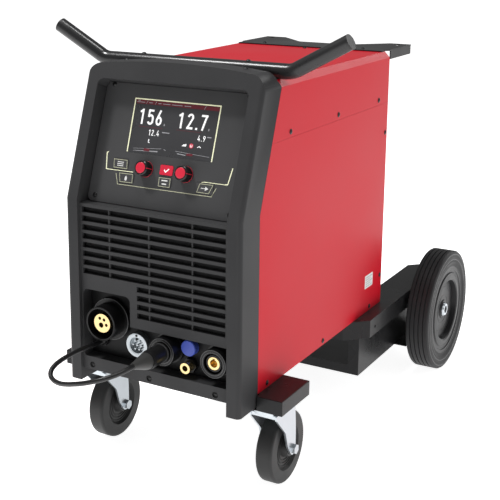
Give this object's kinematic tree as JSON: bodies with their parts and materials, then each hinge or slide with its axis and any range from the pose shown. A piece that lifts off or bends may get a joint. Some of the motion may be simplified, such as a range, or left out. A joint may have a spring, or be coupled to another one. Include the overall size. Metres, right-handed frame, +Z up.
{
  "type": "mig welder on cart",
  "caption": "Wheeled MIG welding power source with slanted control panel, built-in wire feeder, front casters and rear bottle carrier.",
  "frame": {"origin": "on the floor, under the middle of the whole machine's bounding box without the polarity lead and its plug", "axes": "+Z up, the control panel and sockets face -Y, +X to the right as seen from the front"},
  "size_m": [0.5574, 1.0155, 0.754],
  "materials": {
    "bezel_plastic": "fine texture",
    "dark_panel": "matt",
    "panel_film": "satin",
    "display_glass": "gloss",
    "knob_plastic": "satin",
    "red_key": "satin",
    "dark_key": "satin",
    "black_plastic": "satin",
    "brass": "machined",
    "plated_metal": "satin plated",
    "cable_rubber": "matt",
    "dark_metal": "blackened",
    "blue_plastic": "satin",
    "red_paint": "satin powder coat",
    "black_paint": "fine powder coat",
    "bare_sheet": "galvanised",
    "spool_plastic": "copper-coloured wire on a plastic spool",
    "bright_steel": "machined",
    "aluminium": "extruded",
    "green_board": "circuit board",
    "red_plastic": "gloss",
    "cap_plastic": "matt",
    "zinc_plate": "bright zinc",
    "caster_rubber": "matt",
    "tyre_rubber": "matt",
    "hub_plastic": "satin"
  },
  "bodies": {
    "casing": {"front_bezel": "bezel_plastic", "louvre_grille": "bezel_plastic", "socket_panel": "dark_panel", "control_panel": "panel_film", "display_screen": "display_glass", "torch_socket": "black_plastic", "torch_adaptor": "brass", "remote_socket": "plated_metal", "power_sockets": "black_plastic", "socket_contacts": "brass", "lead_gland": "black_plastic", "polarity_lead": "cable_rubber", "polarity_plug": "cable_rubber", "gas_fittings": "brass", "gas_outlet_nut": "dark_metal", "top_cover": "red_paint", "right_side_panel": "red_paint", "door_hinges": "dark_metal", "rear_panel": "black_paint", "base_pan": "black_paint", "centre_partition": "bare_sheet", "spool_hub": "black_plastic", "feed_plate": "dark_metal", "feed_motor": "bright_steel", "heat_sink": "aluminium", "power_board": "green_board", "fan_frame": "black_plastic", "mains_gland": "black_plastic", "handle_bar": "black_paint", "handle_end_caps": "cap_plastic", "bottle_bracket": "black_paint", "caster_beam": "black_paint", "caster_plates": "zinc_plate", "bottle_carrier": "black_paint", "bottle_tray": "black_paint", "rear_axles": "zinc_plate", "casing_screws": "dark_metal"},
    "knob_left": {"knob_left": "knob_plastic"},
    "knob_right": {"knob_right": "knob_plastic"},
    "set_button": {"set_button": "red_key"},
    "mode_button": {"mode_button": "dark_key"},
    "menu_button": {"menu_button": "dark_key"},
    "gas_test_button": {"gas_test_button": "dark_key"},
    "wire_feed_button": {"wire_feed_button": "dark_key"},
    "coupling_cap": {"coupling_cap": "blue_plastic"},
    "wire_door": {"wire_door": "red_paint"},
    "door_latch": {"door_latch": "black_plastic"},
    "wire_spool": {"wire_spool": "spool_plastic"},
    "drive_roll": {"drive_roll": "bright_steel"},
    "pressure_arm": {"pressure_arm": "black_plastic"},
    "fan_rotor": {"fan_rotor": "black_plastic"},
    "main_switch": {"main_switch": "red_plastic"},
    "caster_fork_left": {"caster_fork_left": "zinc_plate"},
    "caster_fork_right": {"caster_fork_right": "zinc_plate"},
    "caster_wheel_left": {"caster_wheel_left": "caster_rubber"},
    "caster_wheel_right": {"caster_wheel_right": "caster_rubber"},
    "rear_wheel_left": {"tyre_left": "tyre_rubber", "hub_left": "hub_plastic"},
    "rear_wheel_right": {"tyre_right": "tyre_rubber", "hub_right": "hub_plastic"}
  },
  "joints": [
    {"name": "knob_left_turn", "type": "hinge", "parent": "casing", "child": "knob_left", "pos_m": [-0.0351, -0.39979, 0.53392], "axis": [0, -0.9444, 0.3289], "continuous": true},
    {"name": "knob_right_turn", "type": "hinge", "parent": "casing", "child": "knob_right", "pos_m": [0.0399, -0.39979, 0.53392], "axis": [0, -0.9444, 0.3289], "continuous": true},
    {"name": "set_button_press", "type": "slide", "parent": "casing", "child": "set_button", "axis": [0, 0.9444, -0.3289], "range_m": [0, 0.0008], "stiffness_N_per_m": 600},
    {"name": "mode_button_press", "type": "slide", "parent": "casing", "child": "mode_button", "axis": [0, 0.9444, -0.3289], "range_m": [0, 0.0008], "stiffness_N_per_m": 600},
    {"name": "menu_button_press", "type": "slide", "parent": "casing", "child": "menu_button", "axis": [0, 0.9444, -0.3289], "range_m": [0, 0.0008], "stiffness_N_per_m": 600},
    {"name": "gas_test_button_press", "type": "slide", "parent": "casing", "child": "gas_test_button", "axis": [0, 0.9444, -0.3289], "range_m": [0, 0.0008], "stiffness_N_per_m": 600},
    {"name": "wire_feed_button_press", "type": "slide", "parent": "casing", "child": "wire_feed_button", "axis": [0, 0.9444, -0.3289], "range_m": [0, 0.0008], "stiffness_N_per_m": 600},
    {"name": "coupling_cap_pull", "type": "slide", "parent": "casing", "child": "coupling_cap", "axis": [0, -1, 0], "range_m": [0, 0.025]},
    {"name": "wire_door_swing", "type": "hinge", "parent": "casing", "child": "wire_door", "pos_m": [-0.1685, -0.369, 0.3], "axis": [0, 0, 1], "range_deg": [0, 110]},
    {"name": "door_latch_turn", "type": "hinge", "parent": "wire_door", "child": "door_latch", "pos_m": [-0.165, 0.1125, 0.385], "axis": [1, 0, 0], "range_deg": [0, 90]},
    {"name": "wire_spool_spin", "type": "hinge", "parent": "casing", "child": "wire_spool", "pos_m": [-0.094, -0.0355, 0.4], "axis": [1, 0, 0], "continuous": true},
    {"name": "drive_roll_spin", "type": "hinge", "parent": "casing", "child": "drive_roll", "pos_m": [-0.075, -0.2655, 0.2567], "axis": [1, 0, 0], "continuous": true},
    {"name": "pressure_arm_lift", "type": "hinge", "parent": "casing", "child": "pressure_arm", "pos_m": [-0.075, -0.2285, 0.303], "axis": [-1, 0, 0], "range_deg": [0, 60]},
    {"name": "fan_spin", "type": "hinge", "parent": "casing", "child": "fan_rotor", "pos_m": [0.072, 0.1225, 0.4], "axis": [0, 1, 0], "continuous": true},
    {"name": "main_switch_turn", "type": "hinge", "parent": "casing", "child": "main_switch", "pos_m": [0.1, 0.1445, 0.6], "axis": [0, 1, 0], "range_deg": [0, 90]},
    {"name": "caster_swivel_left", "type": "hinge", "parent": "casing", "child": "caster_fork_left", "pos_m": [-0.169, -0.3345, 0.15], "axis": [0, 0, 1], "continuous": true},
    {"name": "caster_spin_left", "type": "hinge", "parent": "caster_fork_left", "child": "caster_wheel_left", "pos_m": [-0.169, -0.3005, 0.0625], "axis": [1, 0, 0], "continuous": true},
    {"name": "caster_swivel_right", "type": "hinge", "parent": "casing", "child": "caster_fork_right", "pos_m": [0.169, -0.3345, 0.15], "axis": [0, 0, 1], "continuous": true},
    {"name": "caster_spin_right", "type": "hinge", "parent": "caster_fork_right", "child": "caster_wheel_right", "pos_m": [0.169, -0.3005, 0.0625], "axis": [1, 0, 0], "continuous": true},
    {"name": "rear_wheel_spin_left", "type": "hinge", "parent": "casing", "child": "rear_wheel_left", "pos_m": [-0.224, 0.317, 0.125], "axis": [1, 0, 0], "continuous": true},
    {"name": "rear_wheel_spin_right", "type": "hinge", "parent": "casing", "child": "rear_wheel_right", "pos_m": [0.224, 0.317, 0.125], "axis": [1, 0, 0], "continuous": true}
  ]
}
